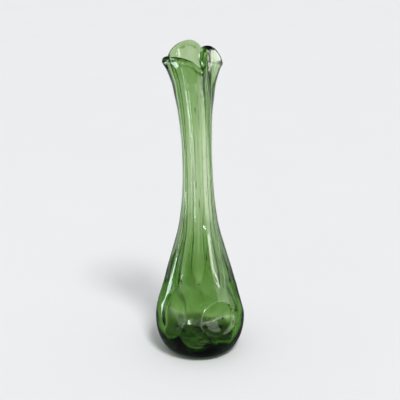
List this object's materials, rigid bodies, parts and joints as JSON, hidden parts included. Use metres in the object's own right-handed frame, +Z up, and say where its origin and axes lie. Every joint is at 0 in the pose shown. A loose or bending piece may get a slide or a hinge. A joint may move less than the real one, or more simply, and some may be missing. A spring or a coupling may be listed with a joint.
{
  "type": "glass bud vase",
  "caption": "Swung bud vase in clear green glass: heavy round bulb with thumbprint hollows, long slightly leaning neck, flared mouth pulled into uneven petals.",
  "frame": {"origin": "middle of the foot, on the surface that the vase stands on", "axes": "+Z up along the neck, -Y towards the front with the low petal, +X towards the folded petal on the right"},
  "size_m": [0.071, 0.0708, 0.2474],
  "materials": {
    "green_glass": "clear fire-polished glass, green all through"
  },
  "bodies": {
    "root": {"vase_glass": "green_glass"}
  },
  "joints": []
}
